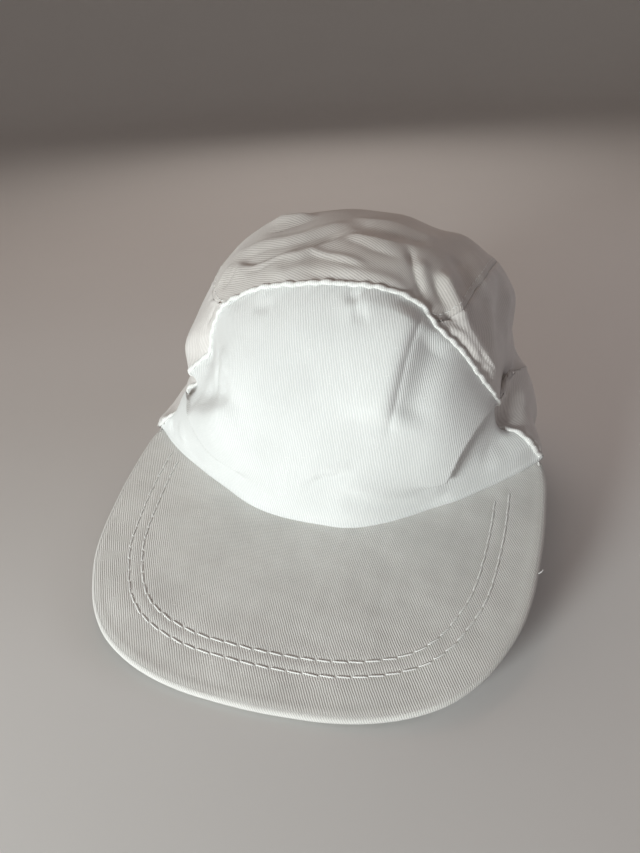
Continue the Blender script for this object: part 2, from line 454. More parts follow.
# Wrinkles: kind, height, width, reach of a step (0 for other kinds), points along the line.
# A bump is a soft ridge, a crease has a sharp bottom or top, a step lifts one side and
# lowers the other.
WRINKLES = [
    ("crease", -1.1, 1.5, 0, [(42.5, -50, 105.5), (41.9, -53.8, 102.9), (39.7, -61.2, 96.7),
     (36.5, -68.2, 88.8), (34, -73.3, 80.5), (31.9, -77.8, 69.5), (31, -80.3, 60.1)]),
    ("bump", 0.7, 4.5, 0, [(39.2, -53.1, 105.1), (36.2, -62.2, 97.7), (33.2, -68.7, 90.2),
     (30.5, -74.2, 80.8), (28.5, -78.5, 69.6)]),
    ("bump", 3, 12, 0, [(39.8, -50.6, 106.6), (38.4, -56.7, 102.3), (34.8, -65.6, 94),
     (31.6, -71.7, 85.6), (29.5, -76.1, 76.4), (27.9, -79.7, 65.6)]),
    ("bump", -2.6, 9, 0, [(51.8, -53.1, 95.6), (48.5, -59.6, 91.5), (44.1, -66.8, 85.1),
     (39.9, -73, 76.2), (37.2, -77.5, 65.2)]),
    ("step", 2.4, 3.2, 11, [(-70, -57.2, 48.9), (-64.2, -61.7, 57), (-55.1, -69.1, 62),
     (-46, -73.8, 65.9), (-38.5, -75.8, 69.6), (-32.4, -76.7, 72.9)]),
    ("bump", -1.6, 6, 0, [(-63.6, -61, 61.4), (-54.9, -68.3, 65.2), (-45.1, -72.7, 70.5)]),
    ("bump", -1, 2.6, 0, [(-56.2, -57.5, 84.8), (-52.3, -62.7, 82.5), (-50, -66.5, 78.6),
     (-52.3, -67.9, 71.7), (-55.7, -67.4, 66)]),
    ("bump", 0.8, 3.5, 0, [(-46.7, -63.8, 87.3), (-42.7, -68.3, 83.6), (-42.5, -71.8, 76.5)]),
    ("bump", -0.7, 1.5, 0, [(-4.3, -86.9, 36.6), (-0.6, -86.7, 40.1), (4.5, -86.1, 43.3),
     (12.7, -85.1, 46), (19.9, -84.2, 46.9)]),
    ("bump", 0.6, 2.4, 0, [(-4.9, -86.6, 39.9), (3.5, -85.6, 46), (12.6, -84.6, 49),
     (19.9, -83.8, 50)]),
    ("step", -0.9, 2, 7, [(11.9, -86.2, 37.6), (17.7, -85.3, 36.9), (24, -83.9, 35.4),
     (30, -82, 33.5), (36.5, -79.6, 31.2), (44, -76.3, 28.9), (51.9, -72.3, 28.6),
     (56.6, -69.5, 30.3)]),
    ("bump", -0.9, 3, 0, [(10.7, -56.2, 110.8), (13.8, -56.8, 109.9), (18.1, -56.7, 109.4)]),
    ("bump", -0.7, 3.2, 0, [(13.7, -61.3, 105.8), (17.9, -61.5, 105), (21.9, -60.4, 105.2)]),
    ("bump", -0.6, 3, 0, [(-31.3, -57.2, 105.2), (-25.5, -58.1, 106.4), (-19.4, -59, 107.1)]),
    ("bump", 0.6, 4, 0, [(4.8, -59.2, 108.5), (11.3, -59.9, 107.5), (22.4, -58, 107.4),
     (27.3, -55.5, 108.1)]),
    ("step", 1.5, 1.5, 8, [(-47.3, -27.9, 114.1), (-40.1, -33.7, 115.7), (-34.4, -36, 116.9),
     (-27.9, -36.1, 118.7), (-19.2, -35, 120.6), (-11.1, -31.1, 122.4), (-3.2, -26.8, 123.5),
     (2.7, -19.9, 124.4)]),
    ("crease", -0.8, 1.2, 0, [(-43.1, -32.3, 114.8), (-35, -36, 116.7), (-27.8, -36.5, 118.6),
     (-19.1, -35.3, 120.5), (-11, -31.5, 122.3), (-3.1, -27.3, 123.4)]),
    ("crease", -0.9, 1.4, 0, [(-42.4, -35.8, 113.8), (-36.3, -39.3, 114.9),
     (-31.1, -41.1, 115.8), (-24.6, -39.9, 118), (-17.1, -39.2, 119.5), (-12.2, -39, 120.1)]),
    ("bump", 1, 2.2, 0, [(-27.5, -37.7, 118.2), (-20.5, -38.3, 119.3), (-13.8, -38.2, 120.2),
     (-9.6, -34.9, 121.5), (-0.1, -38.9, 120.6), (10.6, -42.3, 118.9), (19.8, -44.7, 116.8)]),
    ("crease", -0.8, 1.8, 0, [(-12, -39.7, 119.8), (-8.4, -37.7, 120.7), (-1.4, -40.7, 119.9),
     (7.8, -43.7, 118.5), (17.2, -46.3, 116.4)]),
    ("bump", 2.2, 4, 0, [(-39.4, -2.7, 121.4), (-35.4, 0, 122.6), (-28, -1.8, 123.9),
     (-20.8, -0.6, 124.6), (-15.7, 1.1, 124.8)]),
    ("crease", -1, 1.8, 0, [(-40.1, -9.7, 120.9), (-34.6, -11.6, 122.2), (-28.8, -11.8, 123.3),
     (-22.2, -8.7, 124.3), (-14.4, 0.1, 124.9)]),
    ("bump", 0.8, 2.5, 0, [(-52.1, -20.1, 113.4), (-43.7, -21.7, 117.7), (-36.4, -21.2, 120.5),
     (-24.9, -23, 122.6), (-16.3, -20.8, 123.8), (-6.9, -13.3, 124.8), (1.5, -6.6, 125)]),
    ("crease", -0.8, 1.8, 0, [(-49.5, -28.1, 112.8), (-42.2, -27.7, 116.8),
     (-34.4, -27.4, 119.7), (-23.3, -28.2, 121.8), (-14.4, -25.7, 123.2), (-5.3, -19, 124.4),
     (2.3, -13, 124.8)]),
    ("step", 1.3, 1.5, 8, [(1.5, -18.9, 124.5), (8, -21.3, 124.1), (13.9, -23.6, 123.6),
     (20.8, -24.6, 122.8), (26.4, -24.4, 122.1), (30.4, -24.1, 121.4)]),
    ("crease", -1, 2.2, 0, [(0.6, -24.1, 123.9), (9.2, -29.5, 122.8), (17.1, -33.3, 121.4),
     (25.1, -34.6, 119.8), (31.6, -35.4, 118)]),
    ("bump", 0.9, 3, 0, [(1.8, -46.2, 117.5), (10.9, -47.4, 116.5), (19.7, -47.6, 115.3),
     (29.7, -46.7, 113.4), (37.6, -46.7, 110.4)]),
    ("crease", -0.8, 2, 0, [(-11.4, -47.3, 116.5), (-2.6, -49.9, 115.5), (7.4, -50.9, 114.7),
     (16.9, -50.4, 114.1)]),
    ("bump", 0.8, 3, 0, [(-26.9, -43.3, 116), (-18.3, -47.4, 115.6), (-11.9, -45.2, 117.5),
     (-3.9, -45, 118.1)]),
    ("crease", -2.2, 1.5, 0, [(30, -22.9, 121.7), (33.4, -31.7, 118.7), (35.5, -36.6, 116.3),
     (38, -41.2, 113.3), (40.8, -45.2, 109.8), (43.1, -47.6, 106.9)]),
    ("bump", 1.5, 4, 0, [(35.6, -29.1, 118.8), (38.1, -34.9, 116), (40.7, -39.9, 112.7),
     (43.7, -44, 108.9)]),
    ("bump", -1.3, 4, 0, [(0.9, -7.9, 125), (11.6, -13.7, 124.6), (22.2, -16.9, 123.7),
     (31.3, -18.1, 122.2), (40.4, -13.6, 120.3)]),
    ("bump", 0.9, 3.5, 0, [(-1.3, 0.4, 125), (11.4, -3, 124.9), (23.5, -5.5, 124.3),
     (35.3, -7.6, 122.4), (43.4, -3.3, 120)]),
    ("bump", -1.4, 5, 0, [(49.2, -11.3, 116.7), (53.7, -20.9, 112), (57.9, -26.8, 106.4),
     (61.5, -30.3, 101)]),
    ("bump", 1.2, 5, 0, [(53.6, 3, 114.5), (58.5, -6.8, 110.2), (62.5, -14.7, 104.8),
     (65.5, -23, 98.3)]),
    ("bump", 3, 3.8, 0, [(45.5, -28.4, 114.9), (48.6, -32.4, 111.7), (53, -37, 106.3),
     (57.4, -40.8, 99.8), (61.4, -44.1, 92.1), (66.2, -44.4, 83.3), (70.5, -42.1, 74.7),
     (73.9, -38.3, 66.3)]),
    ("crease", -1.6, 1.7, 0, [(43.4, -33.3, 114.3), (46.2, -38.4, 110.5), (49.7, -41.9, 106.2),
     (52.7, -44.1, 102.3)]),
    ("crease", -1.6, 2.4, 0, [(49.3, -26, 113.6), (54.3, -31.6, 107.8), (58.5, -35.8, 101.6),
     (62.9, -39, 93.9), (67.8, -39.1, 84.8), (71.9, -36.7, 75.8), (75.1, -32.9, 67.2)]),
    ("crease", -1.6, 1.4, 0, [(50.9, -47.5, 101.3), (52.7, -45.8, 101.1), (54.9, -45.1, 99.4),
     (57.1, -45.2, 96.8)]),
    ("bump", 1.3, 2, 0, [(51.1, -49.5, 99.5), (54.4, -48.3, 97.4), (58.6, -48.2, 92.3),
     (64.1, -48.1, 83.3), (68.9, -46.2, 74.2)]),
    ("crease", -1, 1, 0, [(63.9, -47.1, 84.9), (68, -45, 78.2), (71.5, -41.7, 71.6),
     (73.5, -39.4, 66.6)]),
    ("bump", -1.2, 3.6, 0, [(65, 4.2, 102.5), (68.4, -4.7, 97.1), (71, -14.8, 90.2),
     (72.2, -25.9, 83), (73.8, -30.2, 75.3)]),
    ("bump", 1.2, 3.6, 0, [(64.7, -13.4, 102), (67.6, -21.2, 95.4), (69.6, -30.7, 86.9),
     (72.5, -34.2, 76.4)]),
    ("crease", -0.7, 1.6, 0, [(65.8, -24.2, 97.4), (69, -20.1, 93.2), (71.9, -15.8, 87.7)]),
    ("bump", 1, 3, 0, [(68.7, 4.7, 96.3), (71.2, -0.3, 91.1), (74, -10.7, 82.8),
     (76, -17.8, 73.3)]),
    ("crease", -1.2, 1.2, 0, [(-51.6, -41.7, 104.8), (-49, -39.5, 108.1), (-46.6, -36.1, 111.4),
     (-43.1, -32.3, 114.8)]),
    ("bump", 0.9, 1.8, 0, [(-56.2, -36.4, 103.7), (-53.2, -34.1, 107.6), (-50.3, -30.6, 111.3),
     (-46.9, -27.6, 114.5)]),
    ("crease", -1.2, 1.4, 0, [(-52, -43.1, 103.6), (-56.1, -44.8, 98.3), (-60.6, -45.9, 91.7),
     (-64.5, -45.9, 85)]),
    ("bump", 1.2, 2.2, 0, [(-65.5, -41.7, 87.2), (-66.2, -45.7, 81.7), (-67.9, -47.4, 75.4),
     (-67.3, -51.8, 70.2), (-64.3, -57.5, 67.9)]),
    ("crease", -1, 1.3, 0, [(-63.1, -44.5, 89), (-62.9, -49.6, 83.9), (-65.6, -50, 77.8)]),
    ("bump", -0.8, 3, 0, [(-66.9, -41.4, 84.8), (-69, -44, 76.8), (-69.5, -48.9, 68)]),
    ("bump", -0.8, 2, 0, [(79.9, -33.4, 51.1), (79.5, -32, 51.9), (79.4, -29.9, 52.6)]),
    ("bump", 0.9, 2.4, 0, [(78.3, -29, 55), (80.1, -25.2, 52.4), (82.9, -24.3, 48.4),
     (85.5, -27.4, 44.8)]),
    ("crease", -0.8, 1.4, 0, [(82, -35.5, 47.9), (83.3, -31.8, 47.1), (83.2, -27.3, 47.7)]),
    ("bump", 0.7, 3, 0, [(68.3, -61.8, 34), (75.3, -56.4, 34.7), (82.8, -50, 35.3),
     (87.4, -45.3, 35.2)]),
    ("bump", -0.7, 3, 0, [(66.9, -62.7, 37.9), (72.3, -57.3, 41.9), (79.7, -49.5, 41.6)]),
    ("bump", -0.9, 1.8, 0, [(-82.4, -48.7, 38.5), (-82.6, -50.6, 33.5), (-79.6, -53.3, 30.3)]),
    ("bump", 0.7, 2.2, 0, [(-76.3, -54.7, 38.1), (-74.5, -57, 34.6), (-69.2, -61.2, 31)])]


def wrinkle_height(points, normals):
    """Outward height of the wrinkles at points of the base form."""
    total = np.zeros(len(points))
    for kind, height, width, reach, line in WRINKLES:
        line = np.array(line, float)
        margin = 6 * width if kind == "crease" else 3.2 * max(width, reach)
        low, high = line.min(0) - margin, line.max(0) + margin
        near = np.where(((points > low) & (points < high)).all(1))[0]
        if not len(near):
            continue
        run = run_along(line)
        best, along, side = np.full(len(near), 1e9), np.zeros(len(near)), np.ones(len(near))
        for i in range(len(line) - 1):
            share, offset, distance = from_segment(points[near], line[i], line[i + 1])
            turn = (np.cross(line[i + 1] - line[i], offset) * normals[near]).sum(1)
            nearer = distance < best
            best = np.where(nearer, distance, best)
            along = np.where(nearer, run[i] + share * (run[i + 1] - run[i]), along)
            side = np.where(nearer, -np.sign(turn), side)
        fade = smoothstep(np.minimum(along, run[-1] - along) / min(9.0, 0.38 * run[-1]))
        if kind == "bump":
            profile = bell(best, width)
        elif kind == "crease":
            profile = np.exp(-np.sqrt(best ** 2 + 0.09) / width)
        else:
            profile = np.tanh(side * best / width) * bell(best, reach)
        total[near] += height * fade * profile
    return total


# ---------------------------------------------------------------- panels as grids of points
def coons(bottom, top, left, right):
    """Grid, rows upward, between four edges."""
    u = np.linspace(0, 1, len(bottom))[None, :, None]
    v = np.linspace(0, 1, len(left))[:, None, None]
    grid = (1 - v) * bottom[None] + v * top[None] + (1 - u) * left[:, None] + u * right[:, None]
    grid -= ((1 - u) * (1 - v) * bottom[0] + u * (1 - v) * bottom[-1]
             + (1 - u) * v * top[0] + u * v * top[-1])
    return grid


def relax(grid):
    """Even out the inside of a grid, edges held, so that no cell is folded over."""
    for _ in range(500):
        grid[1:-1, 1:-1] = (grid[:-2, 1:-1] + grid[2:, 1:-1]
                            + grid[1:-1, :-2] + grid[1:-1, 2:]) / 4
    return grid


def side_edge(count):
    """Front panel's seam on the +x side, foot to corner."""
    return front_point(*resample(FRONT_XZ[:CORNER + 1], count).T)


def top_edge(count):
    half = FRONT_XZ[CORNER:]
    return front_point(*resample(np.vstack([half * [-1, 1], half[:-1][::-1]]), count).T)


def foot_edge(count):
    spread = 1.30
    x = FOOT_HALF * np.sin(np.linspace(-1, 1, count) * spread) / math.sin(spread)
    y = visor_seam_y(x)
    return np.stack([x, y, visor_plane_z(y)], -1)


def front_grid(columns, rows):
    """Columns run from -x to +x, rows upward."""
    side = side_edge(rows)
    return on_form(coons(foot_edge(columns), top_edge(columns), side * MIRROR, side))


def top_grid(columns, rows):
    """Columns run from -x to +x, rows from the back hem to the front panel."""
    def unroll(points):
        """x, angle over the head from front to back, distance from the middle."""
        y, z = points[..., 1] - CENTRE[1], points[..., 2] - CENTRE[2]
        angle = np.arctan2(z, -y)
        angle = np.where(angle < -1.6, angle + 2 * math.pi, angle)
        return np.stack([points[..., 0], angle, np.hypot(y, z)], -1)

    seam = resample(top_seam(), rows)
    x = np.linspace(-seam[-1, 0], seam[-1, 0], columns)
    back, front = unroll(back_point(x, 0.1)), unroll(top_edge(columns))
    plus_x = unroll(seam[::-1])
    minus_x = plus_x * MIRROR
    u = np.linspace(0, 1, columns)[None, :, None]
    v = np.linspace(0, 1, rows)[:, None, None]
    ruled = (1 - v) * back[None] + v * front[None]
    grid = relax(ruled + (1 - u) ** 3 * (minus_x[:, None] - ruled[:, :1])
                 + u ** 3 * (plus_x[:, None] - ruled[:, -1:]))
    x, angle, radius = np.moveaxis(grid, -1, 0)
    return on_form(np.stack([x, CENTRE[1] - radius * np.cos(angle),
                             CENTRE[2] + radius * np.sin(angle)], -1))


def side_grid(columns, rows):
    """The +x side panel: columns from the front seam to the back end, rows upward."""
    seam = top_seam()
    turn = len(TOP_SEAM_XY)         # the seam's point where it starts down the back
    upper = resample(seam[:turn + 1], columns)
    end = resample(seam[turn:], rows)[::-1]
    front = side_edge(rows)
    angle = np.linspace(math.atan2(front[0, 1], front[0, 0]),
                        math.atan2(end[0, 1], end[0, 0]), 160)
    z = np.full(160, 10.0)
    for _ in range(6):
        z = hem_z(crown_radius(angle, z) * np.sin(angle))
    lower = ring_point(angle, z)
    lower[0], lower[-1] = front[0], end[0]
    return on_form(relax(coons(resample(lower, columns), upper, front, end)))


def grid_normals(grid):
    return unit(np.cross(np.gradient(grid, axis=1), np.gradient(grid, axis=0)), TINY)


def lengths(grid, axis):
    """Distance along each row or column of a grid."""
    step = np.linalg.norm(np.diff(grid, axis=axis), axis=-1)
    zero = np.zeros_like(np.take(step, [0], axis=axis))
    return np.cumsum(np.concatenate([zero, step], axis=axis), axis=axis)


def edge_distances(grid):
    """Distances from the first row, last row, first column and last column."""
    rows, columns = lengths(grid, 0), lengths(grid, 1)
    return rows, rows[-1:] - rows, columns, columns[:, -1:] - columns


def cloth_uv(grid):
    """Flat cloth coordinates, measured from the middle column."""
    middle = grid.shape[1] // 2
    u, v = lengths(grid, 1), lengths(grid, 0)
    u = u - u[:, [middle]]
    return np.stack([u, np.broadcast_to(v[:, [middle]], v.shape)], -1) / UV_MM


def arch_inside(points, grow):
    """True for points in the back opening, grown by some millimetres."""
    z = np.maximum(points[..., 2] - ARCH_SPRING, 0)
    across = np.abs(points[..., 0] / (ARCH_HALF + grow))
    up = z / (ARCH_TOP + grow - ARCH_SPRING)
    return (across ** 2 + up ** 2 < 1) & (points[..., 1] > 20)


# ---------------------------------------------------------------- mesh builders
def add_object(name, verts, faces, material, uv=None):
    """Smooth object from points in millimetres, with UVs given per point."""
    mesh = bpy.data.meshes.new(name)
    mesh.from_pydata((verts * MM).tolist(), [], faces)
    if uv is not None:
        layer = mesh.uv_layers.new(name="UVMap")
        corners = np.empty(len(mesh.loops), np.int32)
        mesh.loops.foreach_get("vertex_index", corners)
        layer.data.foreach_set("uv", uv[corners].astype(np.float32).ravel())
    mesh.polygons.foreach_set("use_smooth", np.ones(len(mesh.polygons), bool))
    mesh.materials.append(material)
    obj = bpy.data.objects.new(name, mesh)
    bpy.context.scene.collection.objects.link(obj)
    return obj


def add_sheet(name, grid, outward, uv, material, thickness, keep=None):
    """Grid facing the outward side and thickened inward. Returns it and its normals."""
    rows, columns = grid.shape[:2]
    i, j = np.meshgrid(np.arange(rows - 1), np.arange(columns - 1), indexing="ij")
    first = (i * columns + j).ravel()
    faces = np.stack([first, first + 1, first + columns + 1, first + columns], -1)
    normals = grid_normals(grid)
    if (normals * outward).sum() <= 0:
        normals, faces = -normals, faces[:, ::-1]
    if keep is not None:
        faces = faces[keep.ravel()]
    used, faces_used = np.unique(faces, return_inverse=True)
    sheet = add_object(name, grid.reshape(-1, 3)[used], faces_used.reshape(faces.shape).tolist(),
                       material, uv.reshape(-1, 2)[used])
    sheet.data.validate()
    solid = sheet.modifiers.new("Thickness", "SOLIDIFY")
    solid.thickness = thickness * MM
    solid.offset = -1.0
    solid.use_even_offset = False
    return sheet, normals


def sweep(path, across, ups, half_width, half_height, distance, sides, turn_uv=1.0):
    """Points and UVs of oval rings along a path, followed by its two end points."""
    angle = np.arange(sides) * 2 * math.pi / sides
    rings = (path[:, None] + (half_width * np.cos(angle))[..., None] * across[:, None]
             + (half_height * np.sin(angle))[..., None] * ups[:, None])
    uv = np.stack(np.broadcast_arrays(distance[:, None], angle * turn_uv), -1)
    uv = uv.reshape(-1, 2) / UV_MM
    return np.vstack([rings.reshape(-1, 3), path[[0, -1]]]), np.vstack([uv, uv[[0, -1]]])


def sweep_faces(rings, sides, base=0):
    faces = []
    for i in range(rings - 1):
        here, there = base + i * sides, base + (i + 1) * sides
        for j in range(sides):
            k = (j + 1) % sides
            faces.append((here + j, here + k, there + k, there + j))
    end = base + (rings - 1) * sides
    tip = end + sides
    for j in range(sides):
        k = (j + 1) % sides
        faces += [(tip, base + k, base + j), (tip + 1, end + j, end + k)]
    return faces


def add_tube(name, path, ups, radius, material, sides, flat=1.0):
    """Tube along a path. The radius is a number or a function of distance and angle."""
    tangent = unit(np.gradient(path, axis=0), TINY)
    ups = unit(ups - (ups * tangent).sum(1, keepdims=True) * tangent, TINY)
    run = run_along(path)
    if callable(radius):
        radius = radius(run[:, None], np.arange(sides)[None] * 2 * math.pi / sides)
    verts, uv = sweep(path, np.cross(tangent, ups), ups, radius, radius * flat, run, sides,
                      turn_uv=0.8)
    return add_object(name, verts, sweep_faces(len(path), sides), material, uv)


def stitches(name, path, ups, pitch, length, width, height, seed, slant=0.0):
    """Sewing along a path: short plump threads whose ends dive into the cloth."""
    path, ups = even(path, ups, 0.4)
    run = run_along(path)
    rng = np.random.default_rng(seed)
    sides, rings = 7, 10
    w = np.linspace(-1, 1, rings)
    arch = np.sqrt(np.clip(1 - w ** 8, 0, 1))
    fat = np.clip(1 - 0.55 * np.abs(w) ** 5, 0.3, 1)[:, None]
    verts, faces, uvs = [], [], []
    middle = 0.5 * pitch
    while middle < run[-1] - 0.5 * pitch:
        long = length * rng.uniform(0.93, 1.06)
        turn = slant + rng.normal() * 0.02
        at = middle + np.linspace(-long / 2, long / 2, rings)
        line = sample(path, run, at)
        up = unit(sample(ups, run, at))
        across = np.cross(unit(np.gradient(line, axis=0)), up)
        line = (line + across * (turn * w * long / 2)[:, None]
                + up * (height * (1.05 * arch - 0.75))[:, None])
        points, uv = sweep(line, across, up, width / 2 * fat, height * 0.75 * fat, at, sides)
        faces += sweep_faces(rings, sides, len(verts) * len(points))
        verts.append(points)
        uvs.append(uv)
        middle += pitch * rng.uniform(0.97, 1.03)
    return add_object(name, np.vstack(verts), faces, THREAD, np.vstack(uvs))


# ---------------------------------------------------------------- materials
class Shader:
    """Wires a material's nodes round a Principled shader."""

    def __init__(self, name):
        self.material = bpy.data.materials.new(name)
        self.material.use_nodes = True
        self.tree = self.material.node_tree
        self.tree.nodes.clear()
        output = self.node("OutputMaterial")
        self.surface = self.node("BsdfPrincipled")
        self.put(output, 0, self.surface.outputs[0])

    def node(self, kind):
        return self.tree.nodes.new("ShaderNode" + kind)

    def put(self, node, key, value):
        if hasattr(value, "is_output"):
            self.tree.links.new(value, node.inputs[key])
        else:
            node.inputs[key].default_value = value

    def math(self, operation, *values, clamp=False):
        node = self.node("Math")
        node.operation = operation
        node.use_clamp = clamp
        for i, value in enumerate(values):
            self.put(node, i, value)
        return node.outputs[0]

    def add(self, a, b):
        return self.math("ADD", a, b)

    def times(self, a, b):
        return self.math("MULTIPLY", a, b)

    def centred(self, value):
        """Moves 0..1 to -0.5..0.5."""
        return self.math("SUBTRACT", value, 0.5)

    def wave(self, distance, period):
        return self.math("SINE", self.times(distance, 2 * math.pi / period))

    def positive(self, wave):
        """Moves -1..1 to 0..1."""
        return self.math("MULTIPLY_ADD", wave, 0.5, 0.5)

    def separate(self, vector):
        node = self.node("SeparateXYZ")
        self.put(node, 0, vector)
        return node.outputs

    def uv(self):
        """The UV vector, then u and v in millimetres."""
        node = self.node("UVMap")
        node.uv_map = "UVMap"
        parts = self.separate(node.outputs[0])
        return node.outputs[0], self.times(parts[0], UV_MM), self.times(parts[1], UV_MM)

    def place(self):
        return self.node("TexCoord").outputs["Object"]

    def mapped(self, vector, scale=(1, 1, 1)):
        node = self.node("Mapping")
        self.put(node, 0, vector)
        self.put(node, "Scale", scale)
        return node.outputs[0]

    def noise(self, vector, scale, detail=3.0, roughness=0.55):
        node = self.node("TexNoise")
        self.put(node, "Vector", vector)
        self.put(node, "Scale", scale)
        self.put(node, "Detail", detail)
        self.put(node, "Roughness", roughness)
        return node.outputs[0]

    def mix(self, factor, a, b, blend="MIX"):
        node = self.node("Mix")
        node.data_type = "RGBA"
        node.blend_type = blend
        self.put(node, 0, factor)
        self.put(node, 6, a if hasattr(a, "is_output") else (*a, 1))
        self.put(node, 7, b if hasattr(b, "is_output") else (*b, 1))
        return node.outputs[2]

    def mottle(self, color, cloud, low, high):
        """Tints a colour from low to high with a noise."""
        node = self.node("ValToRGB")
        self.put(node, 0, cloud)
        for stop, position, tint in zip(node.color_ramp.elements, (0.3, 0.7), (low, high)):
            stop.position = position
            stop.color = (*tint, 1)
        return self.mix(1.0, color, node.outputs[0], blend="MULTIPLY")

    def bump(self, height, distance, strength, normal=None):
        node = self.node("Bump")
        self.put(node, "Distance", distance)
        self.put(node, "Strength", strength)
        self.put(node, "Height", height)
        if normal is not None:
            self.put(node, "Normal", normal)
        return node.outputs[0]

    def finish(self, color, roughness, normal, sheen, specular):
        self.put(self.surface, "Base Color", color)
        self.put(self.surface, "Roughness", roughness)
        self.put(self.surface, "Normal", normal)
        self.put(self.surface, "Sheen Weight", sheen)
        self.put(self.surface, "Sheen Roughness", 0.45)
        self.put(self.surface, "Specular IOR Level", specular)
        return self.material


def twill(name, color, groove, angle, seed, pitch=1.02, depth=0.00012, fleck=0.0, tone=0.06):
    """Cotton twill: slanted ribs with single yarns across them, thick yarns and dark flecks."""
    sh = Shader(name)
    uv, u, v = sh.uv()
    place = sh.place()
    wobble_mm, yarn_slant, yarn_pitch = 0.6, 0.5, 0.62    # the last is a share of the pitch
    rib_power, rib_share, yarn_share, fuzz_share, slub_share = 0.8, 0.72, 0.28, 0.5, 0.7
    slub_floor, slub_gain = 0.66, 6.0                     # picks out the rare thick yarns
    groove_gain, groove_floor = 0.85, 0.1                 # height to colour
    wobble = sh.noise(sh.mapped(uv), scale=22.0 + seed, detail=2.0)
    wobble = sh.times(sh.centred(wobble), wobble_mm)
    c, s = math.cos(math.radians(angle)), math.sin(math.radians(angle))
    across = sh.add(sh.add(sh.times(u, s), sh.times(v, -c)), wobble)
    along = sh.add(sh.times(u, c), sh.times(v, s))
    rib = sh.positive(sh.wave(across, pitch))
    slanted = sh.add(along, sh.times(across, yarn_slant))
    yarn = sh.positive(sh.wave(slanted, pitch * yarn_pitch))
    fuzz = sh.noise(sh.mapped(uv), scale=260.0, detail=2.0, roughness=0.6)
    slub = sh.noise(sh.mapped(uv, (14.0, 62.0, 1)), scale=1.6, detail=2.0, roughness=0.5)
    slub = sh.math("SUBTRACT", slub, slub_floor, clamp=True)
    slub = sh.math("MULTIPLY", slub, slub_gain, clamp=True)
    height = sh.add(sh.times(sh.math("POWER", rib, rib_power), rib_share),
                    sh.times(sh.times(yarn, rib), yarn_share))
    height = sh.add(height, sh.times(sh.centred(fuzz), fuzz_share))
    height = sh.add(height, sh.times(slub, slub_share))
    lit = sh.math("MULTIPLY_ADD", height, groove_gain, groove_floor, clamp=True)
    cloud = sh.noise(place, scale=38.0, detail=4.0, roughness=0.6)
    tinted = sh.mottle(sh.mix(lit, groove, color), cloud,
                       low=(1.0 - tone,) * 3, high=(1.0 + tone * 0.4,) * 3)
    if fleck:
        spot_radius, rarity = 0.022, 0.56
        cell = sh.node("TexVoronoi")
        sh.put(cell, "Vector", sh.mapped(uv))
        sh.put(cell, "Scale", 4.2)
        spot = sh.math("LESS_THAN", cell.outputs["Distance"], spot_radius)
        rare = sh.math("GREATER_THAN", sh.noise(uv, scale=9.0, detail=1.0), rarity)
        amount = sh.times(sh.times(spot, rare), fleck)
        tinted = sh.mix(amount, tinted, (0.10, 0.10, 0.13))
    rib_gloss, groove_roughness = -0.08, 0.93
    soft = sh.bump(sh.noise(place, scale=120.0, detail=3.0, roughness=0.6),
                   distance=0.00035, strength=0.35)
    return sh.finish(tinted, sh.math("MULTIPLY_ADD", rib, rib_gloss, groove_roughness),
                     sh.bump(height, distance=depth, strength=1.0, normal=soft),
                     sheen=0.22, specular=0.22)


def thread(name, color):
    """Sewing thread: two plies twisted round each other."""
    sh = Shader(name)
    _, u, v = sh.uv()
    ply_pitch, ply_turn, fuzz_share, shade = 0.9, 2.0, 0.4, 0.82
    twist = sh.add(sh.times(u, 2 * math.pi / ply_pitch), sh.times(v, ply_turn))
    twist = sh.positive(sh.math("SINE", twist))
    fuzz = sh.noise(sh.place(), scale=900.0, detail=3.0, roughness=0.6)
    height = sh.add(twist, sh.times(fuzz, fuzz_share))
    return sh.finish(sh.mix(twist, tuple(x * shade for x in color), color), 0.78,
                     sh.bump(height, distance=0.00008, strength=0.8), sheen=0.25, specular=0.3)


def gauze(name, color, dark):
    """Stiff open gauze: crossing yarns with dark gaps."""
    sh = Shader(name)
    _, u, v = sh.uv()
    cell, gain, floor, fuzz_share = 1.3, 1.4, -0.4, 0.3   # cell in mm; yarn to colour; fuzz
    across = sh.math("ABSOLUTE", sh.wave(u, 2 * cell))
    along = sh.math("ABSOLUTE", sh.wave(v, 2 * cell))
    yarn = sh.math("SUBTRACT", 1.0, sh.math("MINIMUM", across, along))
    lit = sh.math("MULTIPLY_ADD", yarn, gain, floor, clamp=True)
    fuzz = sh.noise(sh.place(), scale=700.0, detail=2.0)
    height = sh.add(yarn, sh.times(fuzz, fuzz_share))
    return sh.finish(sh.mix(lit, dark, color), 0.9,
                     sh.bump(height, distance=0.00018, strength=0.9), sheen=0.1, specular=0.25)


def tape(name, color, groove, pitch):
    """Woven tape: herringbone ribs."""
    sh = Shader(name)
    _, u, v = sh.uv()
    zigzag = 3.6                # width of one herringbone turn, mm
    shift = sh.centred(sh.math("FRACT", sh.math("DIVIDE", v, zigzag)))
    shift = sh.times(sh.math("ABSOLUTE", shift), zigzag)
    rib = sh.positive(sh.wave(sh.add(u, shift), pitch))
    cloud = sh.noise(sh.place(), scale=60.0)
    tinted = sh.mottle(sh.mix(rib, groove, color), cloud,
                       low=(0.93, 0.93, 0.92), high=(1.0, 1.0, 1.0))
    return sh.finish(tinted, 0.9, sh.bump(rib, distance=0.0001, strength=0.9),
                     sheen=0.2, specular=0.2)


def loop_pile(name, color, dark):
    sh = Shader(name)
    curl = sh.noise(sh.place(), scale=900.0, detail=5.0, roughness=0.75)
    return sh.finish(sh.mix(curl, dark, color), 0.95,
                     sh.bump(curl, distance=0.0006, strength=0.9), sheen=0.5, specular=0.15)


